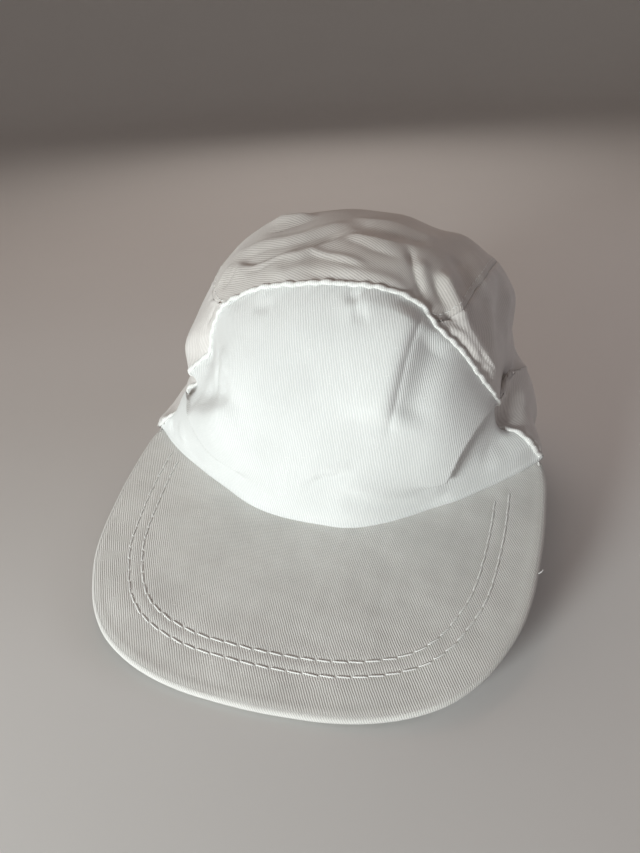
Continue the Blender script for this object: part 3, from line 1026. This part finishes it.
def hook_face(name, color, dark):
    """Rows of stiff little hooks."""
    sh = Shader(name)
    place = sh.place()
    parts = sh.separate(place)
    pitch, grain_share = 0.0012, 0.25                     # pitch in metres
    dots = sh.positive(sh.times(sh.wave(parts[0], pitch), sh.wave(parts[2], pitch)))
    grain = sh.noise(place, scale=1500.0, detail=2.0)
    height = sh.add(dots, sh.times(grain, grain_share))
    return sh.finish(sh.mix(dots, dark, color), 0.5,
                     sh.bump(height, distance=0.0003, strength=0.9), sheen=0.0, specular=0.45)


def board_plastic(name):
    sh = Shader(name)
    grain = sh.noise(sh.place(), scale=420.0, detail=4.0, roughness=0.6)
    gain, smoothest = 0.2, 0.45                           # grain to roughness
    return sh.finish(sh.mix(grain, (0.70, 0.69, 0.66), (0.80, 0.79, 0.76)),
                     sh.math("MULTIPLY_ADD", grain, gain, smoothest),
                     sh.bump(grain, distance=0.00006, strength=0.6), sheen=0.0, specular=0.5)


def floor_paint(name):
    sh = Shader(name)
    cloud = sh.noise(sh.place(), scale=6.0)
    return sh.finish(sh.mix(cloud, (0.76, 0.75, 0.74), (0.79, 0.78, 0.77)), 0.85,
                     sh.bump(cloud, distance=0.0002, strength=0.1), sheen=0.0, specular=0.2)


# angles in degrees, pitches in mm, depths in metres
FRONT_TWILL = twill("front_twill", color=(0.86, 0.865, 0.855), groove=(0.66, 0.67, 0.67),
                    angle=101, pitch=1.05, fleck=0.5, seed=0.3)
TOP_TWILL = twill("top_twill", color=(0.72, 0.685, 0.66), groove=(0.60, 0.57, 0.545),
                  angle=28, pitch=1.1, depth=0.00008, seed=1.1, tone=0.08)
SIDE_TWILL = twill("side_twill", color=(0.765, 0.735, 0.715), groove=(0.645, 0.615, 0.595),
                   angle=62, pitch=1.1, depth=0.00009, seed=2.2, tone=0.08)
VISOR_TWILL = twill("visor_twill", color=(0.83, 0.815, 0.79), groove=(0.60, 0.585, 0.565),
                    angle=120, pitch=0.84, depth=0.00014, fleck=0.9, seed=3.1, tone=0.07)
STRAP_TWILL = twill("strap_twill", color=(0.80, 0.79, 0.775), groove=(0.57, 0.55, 0.54),
                    angle=45, seed=4.4)
BINDING_TAPE = tape("binding_tape", color=(0.82, 0.81, 0.79), groove=(0.6, 0.59, 0.57),
                    pitch=0.8)
SEAM_TAPE = tape("seam_tape", color=(0.80, 0.79, 0.76), groove=(0.58, 0.57, 0.54), pitch=0.7)
SWEATBAND_TWILL = twill("sweatband_twill", color=(0.79, 0.77, 0.73), groove=(0.58, 0.55, 0.51),
                        angle=90, pitch=0.7, depth=0.00009, seed=5.3, tone=0.1)
BUCKRAM = gauze("buckram", color=(0.78, 0.76, 0.70), dark=(0.32, 0.31, 0.28))
THREAD = thread("thread", color=(0.90, 0.895, 0.88))
CORD = thread("seam_cord", color=(0.90, 0.90, 0.88))
LOOP_PILE = loop_pile("loop_pile", color=(0.78, 0.77, 0.75), dark=(0.45, 0.44, 0.42))
HOOK_FACE = hook_face("hook_face", color=(0.74, 0.74, 0.72), dark=(0.42, 0.42, 0.41))
BOARD_PLASTIC = board_plastic("visor_board_plastic")

# ---------------------------------------------------------------- crown panels
HEM_STITCH_Z = 6.0      # distance of the hem's stitch line from the edge
crown_pieces = []       # everything that blends between the crown and the visor


def add_crown_layer(name, node, grid, normals, lift, thickness, material, keep=None):
    """Cloth at a height over the worn crown. Returns its outer grid and normals."""
    points, out = grid.reshape(-1, 3), normals.reshape(-1, 3)
    height = wrinkle_height(points, out) + np.broadcast_to(lift, grid.shape[:2]).reshape(-1)
    laid = (settle(points) + height[:, None] * out).reshape(grid.shape)
    layer, laid_normals = add_sheet(name, laid, normals, cloth_uv(grid), material, thickness,
                                    keep)
    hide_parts(node)
    crown_pieces.append(layer)
    return laid, laid_normals


def seam_groove(*distances):
    """A narrow dip in a wide swell along edges."""
    return (-0.4 * sum(bell(d, 1.2) for d in distances)
            + 0.3 * sum(bell(d, 4.0) for d in distances))


def build_front_panel():
    grid, normals = front_grid(200, 132)
    bottom, top, first, last = edge_distances(grid)
    pucker = (np.sin(first * 2 * math.pi / 8.5 + 1.3 * np.sin(first * 0.11))
              * bell(top, 5.0) * 0.22)
    pucker += np.sin(bottom * 2 * math.pi / 7.5) * (bell(first, 4.5) + bell(last, 4.5)) * 0.18
    foot = 0.9 * bell(bottom, 1.6)
    near_seam = np.clip(bell(top, 9.0) + bell(first, 9.0) + bell(last, 9.0), 0, 1)
    near_seam = near_seam * np.clip(bottom / 12.0, 0, 1)
    lift = (0.22 + 0.38 * near_seam) * crown_ripple(grid, 1.0) + pucker + foot
    return add_crown_layer("front_panel_cloth", "front_panel", grid, normals, lift, CLOTH,
                           FRONT_TWILL)


def build_top_panel():
    """Top panel, open at the back inside the arch."""
    grid, normals = top_grid(120, 176)
    bottom, _, first, last = edge_distances(grid)
    pucker = np.sin(bottom * 2 * math.pi / 9.0) * (bell(first, 5.0) + bell(last, 5.0)) * 0.2
    lift = crown_ripple(grid) + seam_groove(first, last) + pucker
    centres = (grid[:-1, :-1] + grid[1:, :-1] + grid[1:, 1:] + grid[:-1, 1:]) / 4
    return add_crown_layer("top_panel_cloth", "top_panel", grid, normals, lift, CLOTH,
                           TOP_TWILL, keep=~arch_inside(centres, -1.6))


def build_side_panels():
    """Both side panels; returns the shared form grid and each one's laid grid and normals."""
    grid, normals = side_grid(150, 100)
    bottom, top, first, last = edge_distances(grid)
    relief = seam_groove(top, last) - 0.3 * bell(first, 1.6)
    relief += np.sin(first * 2 * math.pi / 9.0) * bell(top, 5.0) * 0.2
    relief += -0.28 * bell(bottom - HEM_STITCH_Z, 0.9) + 0.25 * np.exp(-(bottom / 4.5) ** 4)
    laid = {}
    for tag, flip in (("left", 1.0), ("right", MIRROR)):
        node = "side_panel_" + tag
        laid[tag] = add_crown_layer(node + "_cloth", node, grid * flip, normals * flip,
                                    crown_ripple(grid * flip) + relief, CLOTH, SIDE_TWILL)
    return grid, laid


def build_seam_cord(panel, normals):
    """Corded seam round the front panel, from the -x foot over the top to the +x foot."""
    path, ups = (np.vstack([g[:, 0], g[-1, 1:], g[::-1, -1][1:]]) for g in (panel, normals))
    path, ups = even(path, ups, 0.45)
    for _ in range(3):
        for line in (path, ups):
            line[1:-1] = (line[:-2] + 2 * line[1:-1] + line[2:]) / 4
    path, ups = path[5:-5], ups[5:-5]
    knots = np.arange(0, 2000, 9)
    rng = np.random.default_rng(11)
    jitter = np.interp(np.arange(2000), knots, rng.normal(size=len(knots)))

    def radius(s, a):
        # two plies, a finer beat and an uneven thickness
        plies = 0.19 * np.cos(2 * a - 2 * math.pi * s / 5.4)
        beat = 0.05 * np.sin(s * 2 * math.pi / 2.7)
        uneven = jitter[np.clip((s * 2).astype(int), 0, 1999)]
        return (1.06 + plies + beat) * (1 + 0.06 * uneven)

    cord = add_tube("front_seam_cord", path + ups * 0.25, ups, radius, CORD, sides=12,
                    flat=0.85)
    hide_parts("front_seam_roll")
    crown_pieces.append(cord)


def build_crown_stitches(top, top_normals, side_form, sides):
    for tag, column in (("left", -3), ("right", 2)):
        crown_pieces.append(stitches(
            "top_seam_stitches_" + tag, top[2:-2, column], top_normals[2:-2, column],
            pitch=3.4, length=2.5, width=0.42, height=0.22, seed=21))
    column = np.arange(3, side_form.shape[1] - 2)
    row = np.abs(lengths(side_form, 0) - HEM_STITCH_Z).argmin(axis=0)[column]
    for tag, (laid, normals) in sides.items():
        crown_pieces.append(stitches(
            "hem_stitches_" + tag, laid[row, column], normals[row, column],
            pitch=3.6, length=2.7, width=0.45, height=0.24, seed=22))


# ---------------------------------------------------------------- inner layers of the crown
def build_stiffener():
    grid, normals = front_grid(120, 80)
    margin = 9
    _, top, first, last = edge_distances(grid)
    inside = (first > margin) & (last > margin) & (top > margin)
    add_crown_layer("stiffener_gauze", "front_stiffener", grid, normals, -2.0, THIN_LAYER,
                    BUCKRAM, keep=inside[:-1, :-1] & inside[1:, 1:])


def add_seam_tape(name, node, line):
    """Tape under a seam line of the form."""
    _, normals = on_crown(line)
    across = np.cross(unit(np.gradient(line, axis=0)), normals)
    offset = np.linspace(-5.4, 5.4, 9)[:, None, None]
    grid, normals = on_form(line[None] + across[None] * offset)
    add_crown_layer(name, node, grid, normals, -1.9, THIN_LAYER, SEAM_TAPE)


def build_seam_tapes():
    front = front_seam()
    add_seam_tape("front_seam_tape_cloth", "front_seam_tape", front[front[:, 2] > 46.5])
    side = resample(top_seam(), 150)
    side = side[(side[:, 2] > 27) & (np.arange(150) > 6)]
    for tag, flip in (("left", 1.0), ("right", MIRROR)):
        add_seam_tape("side_tape_%s_cloth" % tag, "side_tape_" + tag, side * flip)


def build_sweatband():
    """Band round the inside, in front from one side of the back opening to the other."""
    angle = np.radians(np.linspace(-241.5, 61.5, 260))
    y = crown_radius(angle, np.full(260, 20.0)) * np.sin(angle)
    low = np.where(y < -38, np.maximum(visor_plane_z(y) - 2.6, 0), hem_z(y) + 0.4)
    high = 57.8 - (y + 140) / 280 * 33.3
    z = low[None] + (high - low)[None] * np.linspace(0, 1, 34)[:, None]
    grid, normals = on_form(ring_point(np.broadcast_to(angle, z.shape), z))
    keep = ~arch_inside((grid[:-1, :-1] + grid[1:, 1:]) / 2, 0.5)
    laid, _ = add_crown_layer("sweatband_cloth", "sweatband", grid, normals, -2.9, 1.0,
                              SWEATBAND_TWILL, keep)
    row = 3
    crown_pieces.append(stitches(
        "sweatband_stitches", laid[row] - normals[row] * 1.05, -normals[row],
        pitch=4.2, length=3.2, width=0.5, height=0.25, seed=25))


# ---------------------------------------------------------------- back opening
def binding_radius(s, a):
    """Flat oval with a soft ripple."""
    half_width, half_height, power = 1.75, 1.35, 3.2
    oval = ((np.abs(np.cos(a)) / half_width) ** power
            + (np.abs(np.sin(a)) / half_height) ** power) ** (-1 / power)
    return oval * (1 + 0.03 * np.sin(s * 2 * math.pi / 7.0 + a))


def build_binding():
    """Binding round the arch's edge."""
    inset, leg = 1.5, np.linspace(0.9, 13.0, 14)
    turn = np.linspace(0, math.pi, 150)
    side = np.full(len(leg), ARCH_HALF)
    x = np.concatenate([side, ARCH_HALF * np.cos(turn), -side]) * (1 - inset / ARCH_HALF)
    z = np.concatenate([leg, ARCH_SPRING + (ARCH_TOP - ARCH_SPRING) * np.sin(turn), leg[::-1]])
    arc, normals = on_crown(back_point(x, z))
    path = settle(arc) + crown_ripple(arc)[:, None] * normals - normals * 0.5
    path, ups = even(path, normals, 0.8)
    binding = add_tube("back_binding_tape", path, ups, binding_radius, BINDING_TAPE, sides=18)
    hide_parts("back_arch_binding")
    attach(binding, "crown")
    across = np.cross(unit(np.gradient(path, axis=0)), ups)
    sewing = stitches("binding_stitches", path + ups * 1.28 + across * 0.95, ups,
                      pitch=3.4, length=2.5, width=0.42, height=0.24, seed=26)
    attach(sewing, "crown")


def strap_grid(x_range, z_range, rounding, columns, rows):
    """Strap on the back of the crown. Rounding shortens the rows at the -x and +x ends."""
    v = np.linspace(-1, 1, rows)[:, None]
    half, middle = (z_range[1] - z_range[0]) / 2, (z_range[0] + z_range[1]) / 2
    cut = half * (1 - np.sqrt(np.maximum(1 - v * v * 0.985, 0.0)))
    start, end = x_range[0] + cut * rounding[0], x_range[1] - cut * rounding[1]
    x = start + (end - start) * (1 - np.cos(np.linspace(0, math.pi, columns))) / 2
    return on_form(back_point(x, middle + v * half))


def add_strap(name, node, body, x_range, rounding, lift, wave, seed, z_range=(3.0, 23.0),
              thickness=0.85, material=STRAP_TWILL, columns=100, rows=30):
    grid, normals = strap_grid(x_range, z_range, rounding, columns, rows)
    edge = np.minimum.reduce(edge_distances(grid))
    height = (lift + waves(grid, wave, size=18.0, seed=seed)
              - 0.22 * bell(edge - 2.2, 0.7) - 0.35 * bell(edge, 0.7))
    laid = grid + height[..., None] * normals
    strap, _ = add_sheet(name, laid, normals, cloth_uv(grid), material, thickness)
    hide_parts(node)
    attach(strap, body)
    return laid, normals


def build_strap_border(strap, normals):
    """Stitch line that runs round the outer strap, inset from its edge."""
    inset = 2.2
    up, along = lengths(strap, 0)[:, 40], lengths(strap, 1)[strap.shape[0] // 2]
    i0, i1 = (int(np.argmin(np.abs(up - d))) for d in (inset, up[-1] - inset))
    j0, j1 = (int(np.argmin(np.abs(along - d))) for d in (inset, along[-1] - inset))
    path, ups = (np.vstack([g[i0, j0:j1], g[i0:i1, j1], g[i1, j1:j0:-1], g[i1:i0:-1, j0]])
                 for g in (strap, normals))
    sewing = stitches("strap_outer_stitches", path + ups * 0.02, ups,
                      pitch=3.2, length=2.432, width=0.45, height=0.24, seed=31)
    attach(sewing, "outer_strap")


def build_strap_root(strap, normals):
    """Sewing at the outer strap's +x end: up a diagonal, back along the top, down again."""
    box, box_normals = strap[5:-5, -14:-3], normals[5:-5, -14:-3]
    last_row, last_column = box.shape[0] - 1, box.shape[1] - 1
    climb, sideways = np.linspace(0, last_row, 24), np.linspace(0, last_column, 24)
    rows = np.concatenate([climb, np.full(7, last_row), climb[::-1]])
    columns = np.concatenate([sideways, np.linspace(last_column, 0, 8)[1:], sideways])
    path = box[np.rint(rows).astype(int), np.rint(columns).astype(int)]
    up = box_normals[box.shape[0] // 2, box.shape[1] // 2]
    sewing = stitches("strap_root_stitches", path, np.broadcast_to(up, path.shape),
                      pitch=2.4, length=1.9, width=0.5, height=0.3, seed=33)
    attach(sewing, "outer_strap")


def build_straps():
    outer, normals = add_strap(
        "strap_outer_cloth", "back_strap_outer", "outer_strap", x_range=(-29.0, 34.5),
        rounding=(0.8, 0.0), lift=0.55, wave=0.12, seed=5, columns=120, rows=36)
    add_strap("strap_inner_cloth", "back_strap_inner", "crown", x_range=(-37.4, 28.0),
              rounding=(0.0, 0.8), lift=-1.75, wave=0.1, seed=6)
    add_strap("loop_patch_pile", "loop_patch", "crown", x_range=(-20.0, 22.0),
              rounding=(0.15, 0.15), lift=-1.0, wave=0.05, seed=7, z_range=(4.6, 21.4),
              thickness=THIN_LAYER, material=LOOP_PILE, columns=90, rows=40)
    build_strap_border(outer, normals)
    build_strap_root(outer, normals)


# ---------------------------------------------------------------- visor
VISOR_HALF, VISOR_REACH = 95.0, 79.5
# (x / half width, y from the seam's front / reach), from the rim's middle to the +x side
RIM = np.array([
    (0, -1), (0.145, -0.9945), (0.2845, -0.981), (0.425, -0.949), (0.563, -0.892),
    (0.690, -0.805), (0.793, -0.683), (0.870, -0.536), (0.9285, -0.379), (0.962, -0.215),
    (0.980, -0.058), (0.9935, 0.110), (0.999, 0.262), (1, 0.40)])
# (x, y) where the rim runs into the crown
RIM_END_MINUS_X = [(-93.2, -41), (-94.3, -45)]
RIM_END_PLUS_X = [(94.6, -45.5), (93.4, -39.5), (92.6, -36.6)]
# (x, y) of the visor's edge against the crown, from +x to -x
VISOR_SEAM = np.array([
    (92.2, -35.2), (87.6, -40.1), (80.2, -46.8), (73.7, -52.2), (67.4, -57.1), (60.3, -62.7),
    (51.7, -68.4), (45.5, -72.4), (36.5, -78.3), (26.2, -83.2), (14.3, -86.4), (3.5, -86.5),
    (-10.2, -85.5), (-24.9, -82.7), (-33.3, -79.2), (-42.3, -74.4), (-51.8, -69.1),
    (-58.5, -65.1), (-69, -58.8), (-81.1, -49.6), (-92.7, -39.7)])
STITCH_ROWS = (15.4, 21.0)      # distances of the stitch rows from the rim
RIM_ROUND = 1.7                 # width of the rounded rim
VISOR_ROWS, VISOR_COLUMNS = 96, 260
VISOR_Y = np.array([0, math.cos(VISOR_SLOPE), math.sin(VISOR_SLOPE)])
VISOR_UP = np.array([0, -math.sin(VISOR_SLOPE), math.cos(VISOR_SLOPE)])


def visor_flat(points):
    """(x, y) seen from above to coordinates in the visor's own plane."""
    y = (points[:, 1] + SEAM_FRONT) / math.cos(VISOR_SLOPE)
    return np.stack([points[:, 0], y], -1)


def visor_point(flat, height):
    origin = np.array([0, -SEAM_FRONT, VISOR_Z])
    return (origin + flat[..., 0, None] * np.array([1.0, 0, 0]) + flat[..., 1, None] * VISOR_Y
            + height[..., None] * VISOR_UP)


def forward_of(line):
    """Flat normals of a line that runs from -x to +x, pointing away from the crown."""
    tangent = unit(np.gradient(line, axis=0))
    return np.stack([tangent[:, 1], -tangent[:, 0]], -1)


def visor_lines():
    """Flat rim and seam, both from -x to +x."""
    rim = RIM * [VISOR_HALF, VISOR_REACH] - [0, SEAM_FRONT]
    rim = np.vstack([RIM_END_MINUS_X, (rim[1:] * [-1, 1])[::-1], rim, RIM_END_PLUS_X])
    return (visor_flat(resample(rim, VISOR_COLUMNS)),
            visor_flat(resample(VISOR_SEAM[::-1], VISOR_COLUMNS)))


def visor_ripple(flat, seed):
    return waves(flat, 0.14, 26.0, seed) + waves(flat, 0.06, 9.0, seed + 1)


TOP_SEED, UNDER_SEED = 41, 43   # ripples of the visor's two faces


def face_level(height, upper):
    """Height over the visor's top plane of a relief on its upper or lower face."""
    return height if upper else -VISOR_THICKNESS - height


def add_cover(name, node, flat, relief, rim, upper):
    """One face of the visor and its half of the rounded rim."""
    out = forward_of(rim)
    turns = np.linspace(0, math.pi / 2, 8)[1:]
    rows = [visor_point(flat, face_level(relief, upper))]
    for turn in turns:
        edge = rim - out * RIM_ROUND + out * (RIM_ROUND * math.sin(turn))
        drop = np.full(len(edge), -VISOR_THICKNESS / 2 * (1 - math.cos(turn)))
        rows.append(visor_point(edge, face_level(drop, upper))[None])
    uv = np.vstack([flat, [rim + out * (i * 0.4) for i in range(len(turns))]]) / UV_MM
    cover, _ = add_sheet(name, np.vstack(rows), VISOR_UP if upper else -VISOR_UP, uv,
                         VISOR_TWILL, 0.62)
    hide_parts(node)
    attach(cover, "visor")


def build_visor_covers(rim, seam):
    start = seam - forward_of(seam) * 0.4
    share = 1 - (1 - np.linspace(0, 1, VISOR_ROWS)) ** 1.15
    reach = rim - forward_of(rim) * RIM_ROUND - start
    flat = start[None] + reach[None] * share[:, None, None]
    from_rim = distance_to(rim, flat)
    clear = np.clip((distance_to(seam, flat) - 2.0) / 6.0, 0, 1)
    calm = np.clip(from_rim / 8, 0, 1)
    # the stitch rows sink in and the cloth swells between them
    quilt = -0.16 * sum(bell(from_rim - row, 0.95) for row in STITCH_ROWS) * clear
    quilt += 0.12 * bell(from_rim - sum(STITCH_ROWS) / 2, 1.8) * clear
    edge = 0.16 * bell(from_rim - 3.4, 1.3)
    add_cover("visor_top_cloth", "visor_top_cover", flat,
              quilt + visor_ripple(flat, TOP_SEED) * calm + edge, rim, True)
    add_cover("visor_under_cloth", "visor_under_cover", flat,
              quilt * 0.8 + visor_ripple(flat, UNDER_SEED) * calm, rim, False)


def build_visor_stitches(rim, seam):
    faces = (("top", True, TOP_SEED, 0.07), ("under", False, UNDER_SEED, 0.05))
    for tag, row, seed in (("outer", STITCH_ROWS[0], 51), ("inner", STITCH_ROWS[1], 52)):
        line = rim - forward_of(rim) * row
        clear = line[:, 1] < np.interp(line[:, 0], seam[:, 0], seam[:, 1]) - 5.0
        line = line[clear & (np.abs(line[:, 0]) < 90)]
        sewn = []
        for face, upper, ripple_seed, sink in faces:
            level = face_level(visor_ripple(line, ripple_seed) - sink, upper)
            path = visor_point(line, level)
            ups = np.broadcast_to(VISOR_UP if upper else -VISOR_UP, path.shape)
            sewn.append(stitches("visor_stitches_%s_%s" % (tag, face), path, ups, pitch=5.9,
                                 length=5.6, width=0.64, height=0.34, seed=seed, slant=0.07))
        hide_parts("visor_thread_" + tag)
        for sewing in sewn:
            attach(sewing, "visor")


def build_loose_thread():
    """Short thread end near the visor's +x edge."""
    points = np.array([(92.0, -95.0, 17.3), (92.8, -94.8, 18.0), (93.6, -94.3, 18.5),
                       (94.2, -93.5, 18.7), (94.1, -92.8, 18.4)])
    path, ups = even(points, np.tile([0.0, 0.0, 1.0], (len(points), 1)), 0.3)
    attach(add_tube("loose_thread_end", path, ups, 0.2, THREAD, sides=7), "visor")


# ---------------------------------------------------------------- build the cap
front_panel, front_normals = build_front_panel()
top_panel, top_normals = build_top_panel()
side_form, side_panels = build_side_panels()
build_seam_cord(front_panel, front_normals)
build_crown_stitches(top_panel, top_normals, side_form, side_panels)
build_stiffener()
build_seam_tapes()
build_sweatband()
build_binding()
build_straps()
visor_rim, visor_seam = visor_lines()
build_visor_covers(visor_rim, visor_seam)
build_visor_stitches(visor_rim, visor_seam)
build_loose_thread()

for piece in crown_pieces:
    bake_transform(piece)

# CAD pieces that keep their own shape
for node, material in (("visor_board", BOARD_PLASTIC), ("hook_patch", HOOK_FACE)):
    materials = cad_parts[node].data.materials
    materials.clear()
    materials.append(material)


# ---------------------------------------------------------------- floor, light, camera
def build_floor():
    """Round floor that curves up into a wall."""
    sides, flat_radius, bend, wall_top, drop = 72, 1800.0, 1200.0, 2400.0, 0.3
    rings = [(flat_radius / 15 * k, 0.0) for k in range(1, 16)]
    for k in range(1, 11):
        turn = k * math.pi / 20
        rings.append((flat_radius + bend * math.sin(turn), bend * (1 - math.cos(turn))))
    rings.append((flat_radius + bend, wall_top))
    verts = [(0.0, 0.0, -drop)]
    for radius, z in rings:
        for j in range(sides):
            angle = 2 * math.pi * j / sides
            verts.append((radius * math.cos(angle), radius * math.sin(angle), z - drop))
    faces = [(0, 1 + j, 1 + (j + 1) % sides) for j in range(sides)]
    for i in range(len(rings) - 1):
        here, there = 1 + i * sides, 1 + (i + 1) * sides
        for j in range(sides):
            k = (j + 1) % sides
            faces.append((here + j, there + j, there + k, here + k))
    add_object("floor", np.array(verts), faces, floor_paint("floor_pale"))


def add_area_light(name, location, aim, size, energy, color):
    """Disk light; places and size in metres, energy in watts."""
    light = bpy.data.lights.new(name, "AREA")
    light.shape = "DISK"
    light.size = size
    light.energy = energy
    light.color = color
    obj = bpy.data.objects.new(name, light)
    obj.location = location
    obj.rotation_mode = "QUATERNION"
    obj.rotation_quaternion = (Vector(aim) - Vector(location)).to_track_quat("-Z", "Y")
    bpy.context.scene.collection.objects.link(obj)


def build_camera():
    right, up, back = (0.9623, 0.2676, -0.0486), (-0.0969, 0.5043, 0.8581), (0.2541, -0.821, 0.5112)
    data = bpy.data.cameras.new("camera")
    camera = bpy.data.objects.new("camera", data)
    matrix = Matrix((right, up, back)).transposed().to_4x4()
    matrix.translation = (0.0717, -0.2990, 0.2011)
    camera.matrix_world = matrix
    data.lens, data.sensor_width = 28.23, 36.0
    data.clip_start, data.clip_end = 0.01, 20
    bpy.context.scene.collection.objects.link(camera)
    bpy.context.scene.camera = camera


build_floor()
add_area_light("key", location=(-0.29, -0.80, 0.15), aim=(0.0, -0.07, 0.05), size=0.24,
               energy=6.6, color=(0.94, 1.0, 0.985))
add_area_light("fill", location=(-0.35, 0.25, 0.75), aim=(0, 0, 0.06), size=0.5,
               energy=0.4, color=(1.0, 0.66, 0.50))
add_area_light("side", location=(0.72, 0.16, 0.34), aim=(0, 0, 0.06), size=0.4,
               energy=0.65, color=(0.92, 0.92, 1.0))
add_area_light("back", location=(-0.25, 0.85, 0.70), aim=(0, 0.05, 0.05), size=0.8,
               energy=1.7, color=(1.0, 0.90, 0.82))
world = bpy.data.worlds.new("studio")
bpy.context.scene.world = world
world.use_nodes = True
background = world.node_tree.nodes["Background"]
background.inputs["Color"].default_value = (1.0, 0.84, 0.76, 1)
background.inputs["Strength"].default_value = 0.15
build_camera()
bpy.context.scene.view_settings.view_transform = "Standard"
